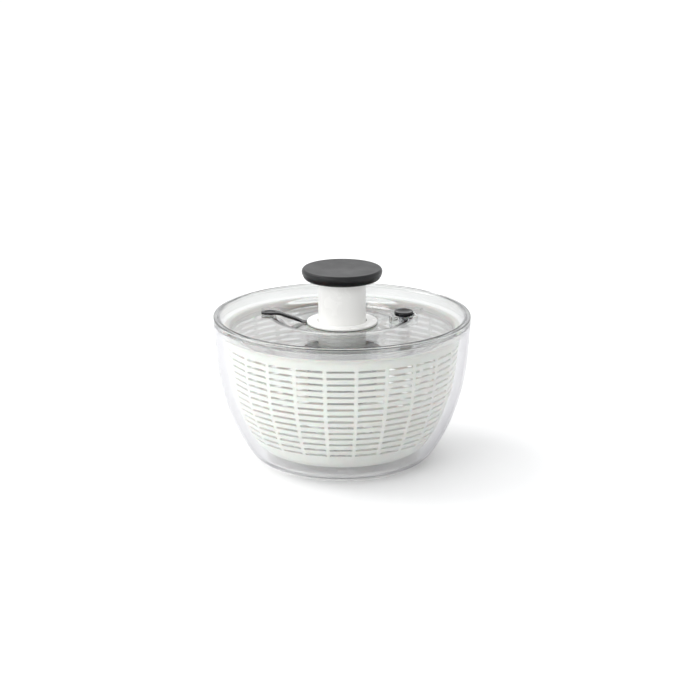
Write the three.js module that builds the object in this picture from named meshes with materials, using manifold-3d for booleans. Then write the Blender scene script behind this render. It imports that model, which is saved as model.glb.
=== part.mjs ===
// A push-pump salad spinner: clear bowl, slotted basket, and a clear lid that carries the pump.
// Millimetres, +Z up. The origin is the centre of the base, on the surface it stands on.
// The front is -Y. The knob lock points to -X and the brake button sits at +X.
import * as THREE from "three";
import { mergeVertices } from "three/addons/utils/BufferGeometryUtils.js";
import Module from "manifold-3d";

// ---- driving dimensions ----
const RIM_R = 133.7; // outside of the bowl's rim band and of the lid
const LID_TOP = 155; // flat top of the lid
const LID_PLATE = 2.8; // thickness of the lid's flat plate
const LID_FLANGE = 5; // height of its outer edge
const KNOB_TOP = 204.5;
const KNOB_R = 41.8;
const POST_R = 24.9; // outside of the pump's white tube
const TRAVEL = 43.5; // stroke of the pump
const LEAD = 29; // one turn of the spindle for each 29 mm of stroke
const FOOT_R = 82; // outside of the non-slip ring
const WALL = 2.8; // bowl wall
const GAP = 0.3; // clearance between neighbouring solids

const RECESS_R = 68.5; // upper edge of the round recess in the lid, around the collar
const RECESS_FLOOR_R = 59; // edge of its floor; the wall between them is a cone
const RECESS_FLOOR = 146; // its upper face
const LID_FLOOR_T = 2.4; // its thickness
const COLLAR_R = 36.7;
const COLLAR_TOP = 148.5;
const COLLAR_BORE_R = 25.5;
const SLEEVE_R = 27.2; // neck of the collar, through the lid
const HOUSING_BORE_R = 27.8;
const HOUSING_R = 30;
const HOUSING_FLOOR = 84; // upper face of the pump housing's floor
const PLUNGER_BOTTOM = 141;
const PLUNGER_TOP = 196.3;

const BASKET_R = 120; // outside of the basket below its rim
const BASKET_TOP = 141;
const BASKET_WALL = 2.4;
const RIBS = 24; // upright ribs of the basket
const RIB_ANGLE = 2.4; // degrees that one rib covers
const RIB_PHASE = 6.7; // degrees from the front to the first rib
const LUGS = 4; // tabs of the basket cover, in pockets of the basket's rim

const COVER_R = 116.8;
const COVER_TOP = 136;
const WELL_R = 33.5; // inside of the cover's well, round the pump housing
const HUB_FACE = 72; // upper face of the drive hub
const CLUTCH_TEETH = 12;
const TOOTH_H = 1.6;
const CLUTCH_GAP = 0.4; // axial play of the teeth in mesh
const CLUTCH_TRAVEL = 2;

const BRAKE_X = 64;
const BRAKE_TRAVEL = 3.2;
const SCREW_CIRCLE_R = 33.6;
const SCREW_ANGLES = [90, 210, 330];
const ROUND = 48; // facets of the large round parts
const MIDDLE = 36; // facets of the pump and the knob
const SMALL = 24; // facets of the small ones

const wasm = await Module();
wasm.setup();

const rad = THREE.MathUtils.degToRad;

// ---- materials ----
function plastic(colour, roughness, opacity = 1) {
  return new THREE.MeshStandardMaterial({
    color: colour,
    roughness,
    metalness: 0,
    opacity,
    transparent: opacity < 1,
  });
}
const clear = plastic(0xeaf0ee, 0.06, 0.3);
const clearSoft = plastic(0xdfe5e4, 0.35, 0.6);
const white = plastic(0xf3f3ef, 0.4);
const acetal = plastic(0xe9e7df, 0.45);
const blackSoft = plastic(0x2b2c2e, 0.75);
const blackGloss = plastic(0x0d0d0e, 0.2);
const rubber = plastic(0x3a3a3c, 0.9);
const steel = new THREE.MeshStandardMaterial({ color: 0xb9bcc0, roughness: 0.3, metalness: 1 });

// ---- solids ----
function toManifold(geometry) {
  const bare = geometry.clone();
  bare.deleteAttribute("normal");
  bare.deleteAttribute("uv");
  const merged = mergeVertices(bare, 1e-4);
  const triVerts = new Uint32Array(merged.index.array);
  const make = () =>
    new wasm.Manifold(
      new wasm.Mesh({
        numProp: 3,
        vertProperties: new Float32Array(merged.attributes.position.array),
        triVerts,
      }),
    );
  const solid = make();
  if (solid.volume() > 0) return solid;
  for (let i = 0; i < triVerts.length; i += 3) {
    [triVerts[i + 1], triVerts[i + 2]] = [triVerts[i + 2], triVerts[i + 1]];
  }
  return make();
}

function toGeometry(solid) {
  const { vertProperties, triVerts } = solid.getMesh();
  const geometry = new THREE.BufferGeometry();
  geometry.setAttribute("position", new THREE.BufferAttribute(new Float32Array(vertProperties), 3));
  geometry.setIndex(new THREE.BufferAttribute(new Uint32Array(triVerts), 1));
  geometry.computeVertexNormals();
  return geometry;
}

// Solid of revolution about +Z from [radius, height] points; a profile off the axis is closed.
function turned(points, facets = SMALL) {
  const outline = points.map(([r, z]) => new THREE.Vector2(r, z));
  const onAxis = points[0][0] === 0 && points[points.length - 1][0] === 0;
  if (!onAxis) outline.push(outline[0].clone());
  return toManifold(new THREE.LatheGeometry(outline, facets).rotateX(Math.PI / 2));
}

function disc(radius, low, high, x = 0, y = 0, facets = SMALL) {
  const geometry = new THREE.CylinderGeometry(radius, radius, high - low, facets);
  return toManifold(geometry.rotateX(Math.PI / 2).translate(x, y, (low + high) / 2));
}

function block(x, y, z) {
  const geometry = new THREE.BoxGeometry(x[1] - x[0], y[1] - y[0], z[1] - z[0]);
  return toManifold(
    geometry.translate((x[0] + x[1]) / 2, (y[0] + y[1]) / 2, (z[0] + z[1]) / 2),
  );
}

function join(first, ...others) {
  return others.reduce((sum, other) => sum.add(other), first);
}

function cut(first, ...others) {
  return others.reduce((rest, other) => rest.subtract(other), first);
}

function polar(radius, degrees) {
  return [radius * Math.cos(rad(degrees)), radius * Math.sin(rad(degrees))];
}

// Flat bar with slightly crowned faces, twisted about +Z: its angle is 0 at z = 0, and one turn
// takes LEAD. "low" and "high" are whole slices, so that two bars on one axis have equal facets.
const SLICE = LEAD / 24;
function twistedBar(width, thickness, low, high) {
  const crown = 0.15;
  const strips = 4;
  const face = [];
  for (let i = 0; i <= strips; i++) {
    const across = (2 * i) / strips - 1;
    face.push([(across * width) / 2, thickness / 2 + crown * (1 - across * across)]);
  }
  const outline = [
    ...face.map(([x, y]) => new THREE.Vector2(-x, -y)).reverse(),
    ...face.map(([x, y]) => new THREE.Vector2(x, y)).reverse(),
  ];
  const geometry = new THREE.ExtrudeGeometry(new THREE.Shape(outline), {
    depth: high - low,
    steps: Math.round((high - low) / SLICE),
    bevelEnabled: false,
  });
  geometry.translate(0, 0, low);
  const position = geometry.attributes.position;
  const point = new THREE.Vector3();
  const up = new THREE.Vector3(0, 0, 1);
  for (let i = 0; i < position.count; i++) {
    point.fromBufferAttribute(position, i);
    point.applyAxisAngle(up, (2 * Math.PI * point.z) / LEAD);
    position.setXYZ(i, point.x, point.y, point.z);
  }
  return toManifold(geometry);
}

class Helix extends THREE.Curve {
  constructor(radius, low, high, turns, x) {
    super();
    Object.assign(this, { radius, low, high, turns, x });
  }
  getPoint(t, target = new THREE.Vector3()) {
    const angle = 2 * Math.PI * this.turns * t;
    return target.set(
      this.x + this.radius * Math.cos(angle),
      this.radius * Math.sin(angle),
      THREE.MathUtils.lerp(this.low, this.high, t),
    );
  }
}

// Coil spring of round wire between two heights.
function coil(radius, wire, low, high, turns, x = 0) {
  const section = new THREE.Shape();
  const sides = 5;
  for (let i = 0; i < sides; i++) {
    const [u, v] = polar(wire, (360 * i) / sides);
    if (i === 0) section.moveTo(u, v);
    else section.lineTo(u, v);
  }
  section.closePath();
  return toManifold(
    new THREE.ExtrudeGeometry(section, {
      steps: Math.round(turns * 10),
      bevelEnabled: false,
      extrudePath: new Helix(radius, low + wire, high - wire, turns, x),
    }),
  );
}

// Pan-head screw: the head sits at "seat", and the shank runs up from it.
function screw(x, y, seat, headR, headH, shankR, length) {
  const shank = disc(shankR, seat - headH / 2, seat + length, x, y, 12);
  const head = disc(headR, seat - headH, seat, x, y, 16);
  const driveSlot = block([x - headR, x + headR], [y - 0.4, y + 0.4], [seat - headH - 1, seat - headH + 0.7]);
  return cut(join(head, shank), driveSlot);
}

// ---- bowl ----
// Outer wall from the foot to the rim; it flares all the way, and a little more into the band.
const bowlOuter = [
  [89.5, 4.4],
  [96, 11],
  [102.6, 21],
  [112.7, 40],
  [120.6, 60],
  [126.2, 80],
  [130.3, 102],
  [132.3, 124],
  [132.9, 135],
  [133.4, 141],
];
const BOWL_RIM = LID_TOP - LID_FLANGE - GAP; // top edge of the bowl
const BAND_LOW = 145; // above it the rim is a straight band
const RIM_IN_R = RIM_R - 3.4;
const BOWL_FLOOR = 7; // inner face of the bowl's floor
const BOWL_UNDER = 4.3; // underside of the floor, above the non-slip ring
const PIN_R = 5;
const PIN_TOP = 16.5;

function bowl() {
  const inner = bowlOuter.slice(1).map(([r, z]) => [r - WALL, z]);
  return turned(
    [
      [0, BOWL_UNDER],
      ...bowlOuter,
      [RIM_R, BAND_LOW],
      [RIM_R, BOWL_RIM],
      [RIM_IN_R, BOWL_RIM],
      [RIM_IN_R, BAND_LOW],
      ...inner.reverse(),
      [86, BOWL_FLOOR],
      [PIN_R, BOWL_FLOOR],
      [PIN_R, PIN_TOP - 3],
      [PIN_R * 0.7, PIN_TOP - 0.8],
      [0, PIN_TOP],
    ],
    ROUND,
  );
}

function nonSlipRing() {
  const top = BOWL_UNDER - GAP;
  return turned(
    [
      [FOOT_R - 5.5, 0],
      [FOOT_R, 0],
      [FOOT_R, top - 0.8],
      [FOOT_R - 0.8, top],
      [FOOT_R - 5.5, top],
    ],
    ROUND,
  );
}

// Acetal cup that sits on the bowl's pin and turns in the basket's hub.
const BUSH_R = 9;
const BUSH_TOP = 19.2;
function pivotBush() {
  const bore = PIN_R + 0.4;
  return turned([
    [0, BUSH_TOP],
    [0, PIN_TOP + GAP],
    [PIN_R * 0.7 + 0.4, PIN_TOP],
    [bore, PIN_TOP - 2],
    [bore, 8.5],
    [BUSH_R, 8.5],
    [BUSH_R, BUSH_TOP - 1],
    [BUSH_R - 1, BUSH_TOP],
  ]);
}

// ---- basket ----
const HUB_R = 12;
const SLOT_ROWS = 15;
const SLOT_PITCH = 6.75; // rise from one row of slots to the next
const SLOT_H = 3;
const SLOT_TOP = 128.6; // upper edge of the highest row
const wallOutline = [
  [86, 19],
  [91.2, 25],
  [99.6, 38.2],
  [105.3, 52],
  [111, 67.6],
  [114.8, 81],
  [117.8, 101],
  [119.8, 118],
  [BASKET_R, SLOT_TOP],
];

function wallRadius(z) {
  const above = wallOutline.findIndex((point) => point[1] >= z);
  const [r0, z0] = wallOutline[above - 1];
  const [r1, z1] = wallOutline[above];
  return r0 + ((r1 - r0) * (z - z0)) / (z1 - z0);
}

// Radius and height of the outer skin, from the hub outwards and up. "open" marks the rows that
// are pierced between the ribs.
const slotRows = Array.from({ length: SLOT_ROWS }, (_, k) => {
  const high = SLOT_TOP - (SLOT_ROWS - 1 - k) * SLOT_PITCH;
  return [
    { r: wallRadius(high - SLOT_H), z: high - SLOT_H, open: true },
    { r: wallRadius(high), z: high, open: false },
  ];
}).flat();
const basketRows = [
  { r: HUB_R, z: 14, open: false },
  { r: 22, z: 14, open: true },
  { r: 70, z: 14, open: false },
  { r: 78.5, z: 14.6, open: false },
  { r: 86, z: 19, open: false },
  { r: 91.2, z: 25, open: false },
  ...slotRows,
  { r: BASKET_R, z: BASKET_TOP - 2.6, open: false },
  { r: BASKET_R + 3.5, z: BASKET_TOP - 2.4, open: false },
  { r: BASKET_R + 3.5, z: BASKET_TOP, open: false },
];

// Inner skin point beside each outer one: straight up over the floor, inwards on the wall.
function innerPoint({ r, z }) {
  if (r <= 72) return { r, z: z + BASKET_WALL };
  if (z < 24) return { r: r - BASKET_WALL * 0.75, z: z + BASKET_WALL * 0.8 };
  if (z < BASKET_TOP) return { r: Math.min(r, BASKET_R) - BASKET_WALL, z };
  return { r: BASKET_R - BASKET_WALL, z: BASKET_TOP };
}

function basketShell() {
  const stations = [];
  for (let k = 0; k < RIBS; k++) {
    const middle = -90 + RIB_PHASE + (k * 360) / RIBS;
    stations.push({ angle: middle - RIB_ANGLE / 2, rib: true });
    stations.push({ angle: middle + RIB_ANGLE / 2, rib: false });
  }
  const rows = basketRows.length;
  const columns = stations.length;
  const position = [];
  for (const row of basketRows) {
    const inner = innerPoint(row);
    for (const { angle } of stations) {
      const [x, y] = polar(1, angle);
      position.push(x * row.r, y * row.r, row.z, x * inner.r, y * inner.r, inner.z);
    }
  }
  const at = (i, j, side) => 2 * (i * columns + ((j + columns) % columns)) + side;
  const isSolid = (i, j) => {
    if (i < 0 || i >= rows - 1) return false;
    return !basketRows[i].open || stations[(j + columns) % columns].rib;
  };
  const index = [];
  const quad = (a, b, c, d) => index.push(a, b, c, a, c, d);
  for (let i = 0; i < rows - 1; i++) {
    for (let j = 0; j < columns; j++) {
      if (!isSolid(i, j)) continue;
      quad(at(i, j, 0), at(i, j + 1, 0), at(i + 1, j + 1, 0), at(i + 1, j, 0));
      quad(at(i, j, 1), at(i + 1, j, 1), at(i + 1, j + 1, 1), at(i, j + 1, 1));
      if (!isSolid(i - 1, j)) quad(at(i, j, 0), at(i, j, 1), at(i, j + 1, 1), at(i, j + 1, 0));
      if (!isSolid(i + 1, j)) {
        quad(at(i + 1, j, 0), at(i + 1, j + 1, 0), at(i + 1, j + 1, 1), at(i + 1, j, 1));
      }
      if (!isSolid(i, j - 1)) quad(at(i, j, 0), at(i + 1, j, 0), at(i + 1, j, 1), at(i, j, 1));
      if (!isSolid(i, j + 1)) {
        quad(at(i, j + 1, 0), at(i, j + 1, 1), at(i + 1, j + 1, 1), at(i + 1, j + 1, 0));
      }
    }
  }
  const geometry = new THREE.BufferGeometry();
  geometry.setAttribute("position", new THREE.BufferAttribute(new Float32Array(position), 3));
  geometry.setIndex(index);
  return toManifold(geometry);
}

function radialBlock(low, high, width, z, degrees) {
  const geometry = new THREE.BoxGeometry(high - low, width, z[1] - z[0]);
  geometry.translate((low + high) / 2, 0, (z[0] + z[1]) / 2);
  return toManifold(geometry.rotateZ(rad(degrees)));
}

const LUG_W = 9.2;
const LUG_LOW = 134.2;
const LUG_HIGH = 137.8;
const POCKET_R = BASKET_R - 1.55; // the lugs sit in shallow pockets inside the rim, open at the top
const lugAngles = Array.from({ length: LUGS }, (_, i) => 45 + (i * 360) / LUGS);

function basket() {
  const socketR = BUSH_R + 0.4;
  const hub = turned([
    [0, BUSH_TOP + 0.4],
    [socketR, BUSH_TOP + 0.4],
    [socketR, 13.6],
    [HUB_R, 13.6],
    [HUB_R + 0.4, 14.2],
    [HUB_R + 0.4, 16.2],
    [HUB_R, BUSH_TOP + 2.4],
    [HUB_R - 1.4, BUSH_TOP + 3.2],
    [0, BUSH_TOP + 3.2],
  ]);
  const pockets = lugAngles.map((angle) =>
    radialBlock(BASKET_R - 5, POCKET_R, LUG_W + 1.2, [LUG_LOW - 0.6, BASKET_TOP + 1], angle),
  );
  return cut(join(basketShell(), hub), ...pockets);
}

// ---- lid ----
const BRAKE_WELL_R = 12.6;
const STEM_R = 2.6;
const SCREW_SHANK_R = 1.3;

function lidCover() {
  const under = LID_TOP - LID_PLATE;
  const edgeUnder = LID_TOP - LID_FLANGE;
  const skirtLow = edgeUnder - 7.2;
  const floorUnder = RECESS_FLOOR - LID_FLOOR_T;
  const skirtR = RIM_IN_R - 0.6;
  const wall = 2.4;
  const plate = turned(
    [
      [0, LID_TOP],
      [RIM_R - 0.7, LID_TOP],
      [RIM_R, LID_TOP - 0.7],
      [RIM_R, edgeUnder],
      [skirtR, edgeUnder],
      [skirtR, skirtLow],
      [skirtR - 2.2, skirtLow],
      [skirtR - 2.2, under],
      [0, under],
    ],
    ROUND,
  );
  const cone = (grow, low, top) =>
    turned(
      [
        [0, low],
        [RECESS_FLOOR_R + grow, low],
        [RECESS_R + grow, LID_TOP],
        [RECESS_R + grow, top],
        [0, top],
      ],
      ROUND,
    );
  const cup = join(
    cone(wall, floorUnder, LID_TOP),
    disc(BRAKE_WELL_R + wall, floorUnder, LID_TOP, BRAKE_X, 0),
  );
  const wells = join(
    cone(0, RECESS_FLOOR, LID_TOP + 1),
    disc(BRAKE_WELL_R, RECESS_FLOOR, LID_TOP + 1, BRAKE_X, 0),
  );
  const holes = [
    disc(SLEEVE_R + 0.4, floorUnder - 1, LID_TOP),
    disc(STEM_R + 0.4, floorUnder - 1, LID_TOP, BRAKE_X, 0, 20),
    ...SCREW_ANGLES.map((a) =>
      disc(SCREW_SHANK_R + 0.4, floorUnder - 1, LID_TOP, ...polar(SCREW_CIRCLE_R, a), 12),
    ),
  ];
  return cut(join(plate, cup), wells, ...holes);
}

const LOCK_TONGUE_W = 9.6;
const LOCK_TONGUE_Z = [146.5, 147.6];

function collar() {
  const low = RECESS_FLOOR + GAP;
  const ring = turned([
    [COLLAR_BORE_R, 144.9],
    [SLEEVE_R, 144.9],
    [SLEEVE_R, low],
    [COLLAR_R, low],
    [COLLAR_R, COLLAR_TOP - 0.8],
    [COLLAR_R - 0.8, COLLAR_TOP],
    [COLLAR_BORE_R + 3, COLLAR_TOP],
    [COLLAR_BORE_R + 2.6, COLLAR_TOP + 0.5],
    [COLLAR_BORE_R, COLLAR_TOP + 0.5],
  ], MIDDLE);
  const halfChannel = LOCK_TONGUE_W / 2 + 0.4;
  const channel = block(
    [-COLLAR_R - 1, -COLLAR_BORE_R + 1.5],
    [-halfChannel, halfChannel],
    [low - 2, LOCK_TONGUE_Z[1] + GAP],
  );
  const screwHoles = SCREW_ANGLES.map((a) =>
    disc(SCREW_SHANK_R + 0.3, low - 1, low + 1.6, ...polar(SCREW_CIRCLE_R, a), 12),
  );
  return cut(ring, channel, ...screwHoles);
}

const FLANGE_TOP = RECESS_FLOOR - LID_FLOOR_T - GAP;
const FLANGE_LOW = FLANGE_TOP - 2.3;
const KEY_W = 4;

function driveHousing() {
  const cup = turned(
    [
      [8.4, HOUSING_FLOOR - 2],
      [HOUSING_R, HOUSING_FLOOR - 2],
      [HOUSING_R, FLANGE_LOW],
      [COLLAR_R + 1.3, FLANGE_LOW],
      [COLLAR_R + 1.3, FLANGE_TOP],
      [HOUSING_BORE_R, FLANGE_TOP],
      [HOUSING_BORE_R, HOUSING_FLOOR],
      [8.4, HOUSING_FLOOR],
    ],
    MIDDLE,
  );
  const keyHigh = FLANGE_TOP - 0.5;
  const keys = [90, 270].map((a) =>
    radialBlock(COLLAR_BORE_R + 0.4, HOUSING_R - 1, KEY_W, [HOUSING_FLOOR - 1, keyHigh], a),
  );
  const screwHoles = SCREW_ANGLES.map((a) =>
    disc(SCREW_SHANK_R + 0.4, FLANGE_LOW - 1, FLANGE_TOP + 1, ...polar(SCREW_CIRCLE_R, a), 12),
  );
  return cut(join(cup, ...keys), ...screwHoles);
}

function spindleBearing() {
  return turned([
    [5.35, 80],
    [8, 80],
    [8, HOUSING_FLOOR + GAP],
    [11, HOUSING_FLOOR + GAP],
    [11, 85.4],
    [5.35, 85.4],
  ]);
}

// ---- pump ----
function plungerTube() {
  const inner = POST_R - 2.3;
  const tube = turned(
    [
      [inner, PLUNGER_BOTTOM],
      [27.1, PLUNGER_BOTTOM],
      [27.1, 144.4],
      [POST_R, 144.4],
      [POST_R, PLUNGER_TOP],
      [2.2, PLUNGER_TOP],
      [2.2, PLUNGER_TOP - 0.6],
      [4, PLUNGER_TOP - 2],
      [inner, PLUNGER_TOP - 2],
    ],
    MIDDLE,
  );
  const keyways = [90, 270].map((a) =>
    radialBlock(POST_R + 0.1, 30, KEY_W + 1, [PLUNGER_BOTTOM - 1, 145], a),
  );
  const halfWindow = LOCK_TONGUE_W / 2 + 0.6;
  const windows = [0, TRAVEL].map((rise) =>
    block(
      [-POST_R - 1, -inner + 1.5],
      [-halfWindow, halfWindow],
      [LOCK_TONGUE_Z[0] - 0.6 + rise, LOCK_TONGUE_Z[1] + 0.6 + rise],
    ),
  );
  return cut(tube, ...keyways, ...windows);
}

const BAR_W = 10;
const BAR_T = 5;

function driveNut() {
  const low = PLUNGER_BOTTOM + 0.4;
  const high = 145.4;
  const play = 0.9;
  const slot = twistedBar(BAR_W + play, BAR_T + play, 116 * SLICE, 121 * SLICE);
  return cut(disc(22.2, low, high), slot);
}

const CORE_R = 36;
function knobCore() {
  const low = PLUNGER_TOP + GAP;
  const body = turned(
    [
      [0, low],
      [POST_R - 1, low],
      [CORE_R - 2, 197.6],
      [CORE_R, 199.6],
      [CORE_R - 0.6, 200.6],
      [0, 200.6],
    ],
    MIDDLE,
  );
  return cut(body, disc(1.9, low - 1, 200, 0, 0, 16));
}

const KNOB_LOW = 193; // underside of the grip
function knobGrip() {
  return turned(
    [
      [POST_R + 0.5, KNOB_LOW],
      [KNOB_R - 5, KNOB_LOW],
      [KNOB_R - 3, KNOB_LOW + 1],
      [KNOB_R - 0.7, KNOB_LOW + 5],
      [KNOB_R, KNOB_TOP - 4],
      [KNOB_R - 0.2, KNOB_TOP - 1.6],
      [KNOB_R - 1, KNOB_TOP - 0.4],
      [KNOB_R - 3, KNOB_TOP],
      [0, KNOB_TOP - 0.5],
      [0, 201],
      [CORE_R - 0.4, 201],
      [CORE_R + 0.4, 199.8],
      [CORE_R - 1.8, 197.2],
      [POST_R + 0.5, 196.6],
    ],
    MIDDLE,
  );
}

function knobScrew() {
  return turned(
    [
      [0, PLUNGER_TOP - 1.9],
      [3.6, PLUNGER_TOP - 1.9],
      [1.6, PLUNGER_TOP - 0.5],
      [1.6, 199.6],
      [0, 199.6],
    ],
    16,
  );
}

// ---- spindle, clutch and hub ----
const SHANK_HALF = 3.5; // half the width of the square shank
const NOSE_R = 3.4;
const BAR_LOW = 72 * SLICE;
const BAR_HIGH = 123 * SLICE;

function driveSpindle() {
  const half = [-SHANK_HALF, SHANK_HALF];
  const body = join(
    twistedBar(BAR_W, BAR_T, BAR_LOW, BAR_HIGH),
    disc(8, 85.8, 87.8),
    disc(5, 79.8, 86),
    block(half, half, [HUB_FACE + CLUTCH_GAP, 80]),
    disc(NOSE_R, 66.5, HUB_FACE + 1, 0, 0, 20),
  );
  return cut(body, disc(1.7, 66, 74, 0, 0, 12));
}

function spindleWasher() {
  return turned([
    [1.7, 64.9],
    [7, 64.9],
    [7, 66.1],
    [1.7, 66.1],
  ], 24);
}

// One ring of clutch teeth, standing up or hanging down from "face".
function clutchTeeth(face, direction, phase) {
  const width = 2.2;
  return Array.from({ length: CLUTCH_TEETH }, (_, i) => {
    const span = direction > 0 ? [face - 0.5, face + TOOTH_H] : [face - TOOTH_H, face + 0.5];
    return radialBlock(9.6, 13.2, width, span, phase + (i * 360) / CLUTCH_TEETH);
  });
}

function clutchDog() {
  const face = HUB_FACE + TOOTH_H + CLUTCH_GAP + CLUTCH_TRAVEL;
  const bore = SHANK_HALF + 0.35;
  const ring = turned([
    [4.2, 79.4],
    [4.2, 77.8],
    [8.4, 77.8],
    [8.4, face],
    [13.6, face],
    [13.6, 78.6],
    [12.8, 79.4],
  ], MIDDLE);
  const squareHole = block([-bore, bore], [-bore, bore], [70, 90]);
  return cut(join(ring, ...clutchTeeth(face, -1, 0)), squareHole);
}

function driveHub() {
  const body = turned([
    [NOSE_R + 0.45, 66.5],
    [13.4, 66.5],
    [13.4, 68.8],
    [21, 68.8],
    [21, HUB_FACE],
    [NOSE_R + 0.45, HUB_FACE],
  ], MIDDLE);
  const screwHoles = SCREW_ANGLES.map((a) => disc(1.5, 68, 71, ...polar(17, a), 12));
  const teeth = clutchTeeth(HUB_FACE, 1, 180 / CLUTCH_TEETH);
  return cut(join(body, ...teeth), ...screwHoles);
}

function basketCover() {
  const floor = 66;
  const wellOut = WELL_R + 2.2;
  const body = turned(
    [
      [13.9, floor],
      [wellOut - 1, floor],
      [wellOut, floor + 1.5],
      [wellOut + 2, COVER_TOP - 2],
      [COVER_R - 2, COVER_TOP - 2],
      [COVER_R - 2, 130.4],
      [COVER_R, 130.4],
      [COVER_R, COVER_TOP],
      [WELL_R + 2, COVER_TOP],
      [WELL_R, floor + 2.5],
      [13.9, floor + 2.5],
    ],
    ROUND,
  );
  const lugs = lugAngles.map((angle) =>
    radialBlock(COVER_R - 4, POCKET_R - GAP, LUG_W, [LUG_LOW, LUG_HIGH], angle),
  );
  const screwHoles = SCREW_ANGLES.map((a) => disc(1.6, floor - 1, floor + 4, ...polar(17, a), 12));
  return cut(join(body, ...lugs), ...screwHoles);
}

// ---- brake and lock ----
const BUTTON_TOP = 158.6;
const BUTTON_LOW = 154;
const BRAKE_PLATE = [141.7, 143]; // foot of the button's stem, under the lid
const BUTTON_HALF_X = 10;
const BUTTON_HALF_Y = 11;

function brakeButton() {
  const outline = new THREE.Shape();
  outline.absellipse(0, 0, BUTTON_HALF_X, BUTTON_HALF_Y, 0, 2 * Math.PI, false, 0);
  const crown = 1.2;
  const cap = new THREE.ExtrudeGeometry(outline, {
    depth: BUTTON_TOP - BUTTON_LOW - 2 * crown,
    bevelEnabled: true,
    bevelThickness: crown,
    bevelSize: crown,
    bevelOffset: -crown,
    bevelSegments: 2,
    curveSegments: 14,
  });
  cap.translate(BRAKE_X, 0, BUTTON_LOW + crown);
  return join(
    toManifold(cap),
    disc(STEM_R, BRAKE_PLATE[0] + 0.5, BUTTON_LOW + 0.5, BRAKE_X, 0, 20),
    disc(5.4, ...BRAKE_PLATE, BRAKE_X, 0, 20),
  );
}

function brakePad() {
  const low = COVER_TOP + BRAKE_TRAVEL + 0.3;
  return disc(6.5, low, BRAKE_PLATE[0] - GAP, BRAKE_X, 0, 24);
}

// Flat tongue in the collar's channel, an arm that climbs out of the recess, and a thumb paddle.
function lockLever() {
  const [low, high] = LOCK_TONGUE_Z;
  const paddleTop = 158;
  const side = new THREE.Shape([
    new THREE.Vector2(-26, low),
    new THREE.Vector2(-26, high),
    new THREE.Vector2(-40.5, high),
    new THREE.Vector2(-44, high + 1.8),
    new THREE.Vector2(-66, paddleTop),
    new THREE.Vector2(-83, paddleTop),
    new THREE.Vector2(-84, paddleTop - 0.9),
    new THREE.Vector2(-83, paddleTop - 2),
    new THREE.Vector2(-67, paddleTop - 2),
    new THREE.Vector2(-45, low + 0.6),
    new THREE.Vector2(-43, low),
  ]);
  const slab = new THREE.ExtrudeGeometry(side, { depth: 20, bevelEnabled: false });
  const profile = toManifold(slab.rotateX(Math.PI / 2).translate(0, 10, 0));
  // Seen from above: tongue and arm of one width, and a broader rounded paddle.
  const tongueHalf = LOCK_TONGUE_W / 2;
  const armHalf = 4.2;
  const paddleHalf = 7;
  const plan = new THREE.Shape();
  plan.moveTo(-25, -tongueHalf);
  plan.lineTo(-25, tongueHalf);
  plan.lineTo(-41, tongueHalf);
  plan.lineTo(-45, armHalf);
  plan.lineTo(-62, armHalf);
  plan.lineTo(-69, paddleHalf);
  plan.lineTo(-78, paddleHalf);
  plan.absellipse(-78, 0, 6, paddleHalf, Math.PI / 2, (3 * Math.PI) / 2, false, 0);
  plan.lineTo(-69, -paddleHalf);
  plan.lineTo(-62, -armHalf);
  plan.lineTo(-45, -armHalf);
  plan.lineTo(-41, -tongueHalf);
  plan.closePath();
  const column = new THREE.ExtrudeGeometry(plan, { depth: 30, bevelEnabled: false, curveSegments: 8 });
  return profile.intersect(toManifold(column.translate(0, 0, 135)));
}

// ---- assembly ----
const root = new THREE.Group();

function addBody(name, pieces) {
  const body = new THREE.Group();
  body.name = name + "_body";
  for (const [node, solid, material] of pieces) {
    const mesh = new THREE.Mesh(toGeometry(solid), material);
    mesh.name = node;
    body.add(mesh);
  }
  root.add(body);
}

const housingScrews = SCREW_ANGLES.map((a, i) => [
  "housing_screw_" + (i + 1),
  screw(...polar(SCREW_CIRCLE_R, a), FLANGE_LOW - GAP, 2.7, 2, SCREW_SHANK_R, 6.8),
  steel,
]);
const hubScrews = SCREW_ANGLES.map((a, i) => [
  "hub_screw_" + (i + 1),
  screw(...polar(17, a), 65.7, 2.6, 1.6, 1.2, 4.8),
  steel,
]);

addBody("bowl", [
  ["bowl", bowl(), clear],
  ["non_slip_ring", nonSlipRing(), clearSoft],
]);
addBody("pivot", [["pivot_bush", pivotBush(), acetal]]);
addBody("basket", [["basket", basket(), white]]);
addBody("lid", [
  ["lid_cover", lidCover(), clear],
  ["collar", collar(), white],
  ["drive_housing", driveHousing(), white],
  ["spindle_bearing", spindleBearing(), acetal],
  ["return_spring", coil(18, 0.7, HOUSING_FLOOR + 2, PLUNGER_BOTTOM - 0.3, 7), steel],
  ["brake_spring", coil(5.4, 0.4, RECESS_FLOOR + 0.3, BUTTON_LOW - 0.3, 4, BRAKE_X), steel],
  ...housingScrews,
]);
addBody("plunger", [
  ["plunger_tube", plungerTube(), white],
  ["drive_nut", driveNut(), acetal],
  ["knob_core", knobCore(), blackGloss],
  ["knob_grip", knobGrip(), blackSoft],
  ["knob_screw", knobScrew(), steel],
]);
addBody("spindle", [
  ["drive_spindle", driveSpindle(), acetal],
  ["spindle_washer", spindleWasher(), steel],
  ["spindle_screw", screw(0, 0, 64.6, 3.4, 1.8, 1.3, 8), steel],
  ["clutch_spring", coil(6.6, 0.4, HUB_FACE + 0.4, 77.4, 3), steel],
]);
addBody("clutch", [["clutch_dog", clutchDog(), acetal]]);
addBody("cover", [
  ["basket_cover", basketCover(), clear],
  ["drive_hub", driveHub(), white],
  ...hubScrews,
]);
addBody("brake", [
  ["brake_button", brakeButton(), blackGloss],
  ["brake_pad", brakePad(), rubber],
]);
addBody("lock", [["lock_lever", lockLever(), blackGloss]]);

export default root;
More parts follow.
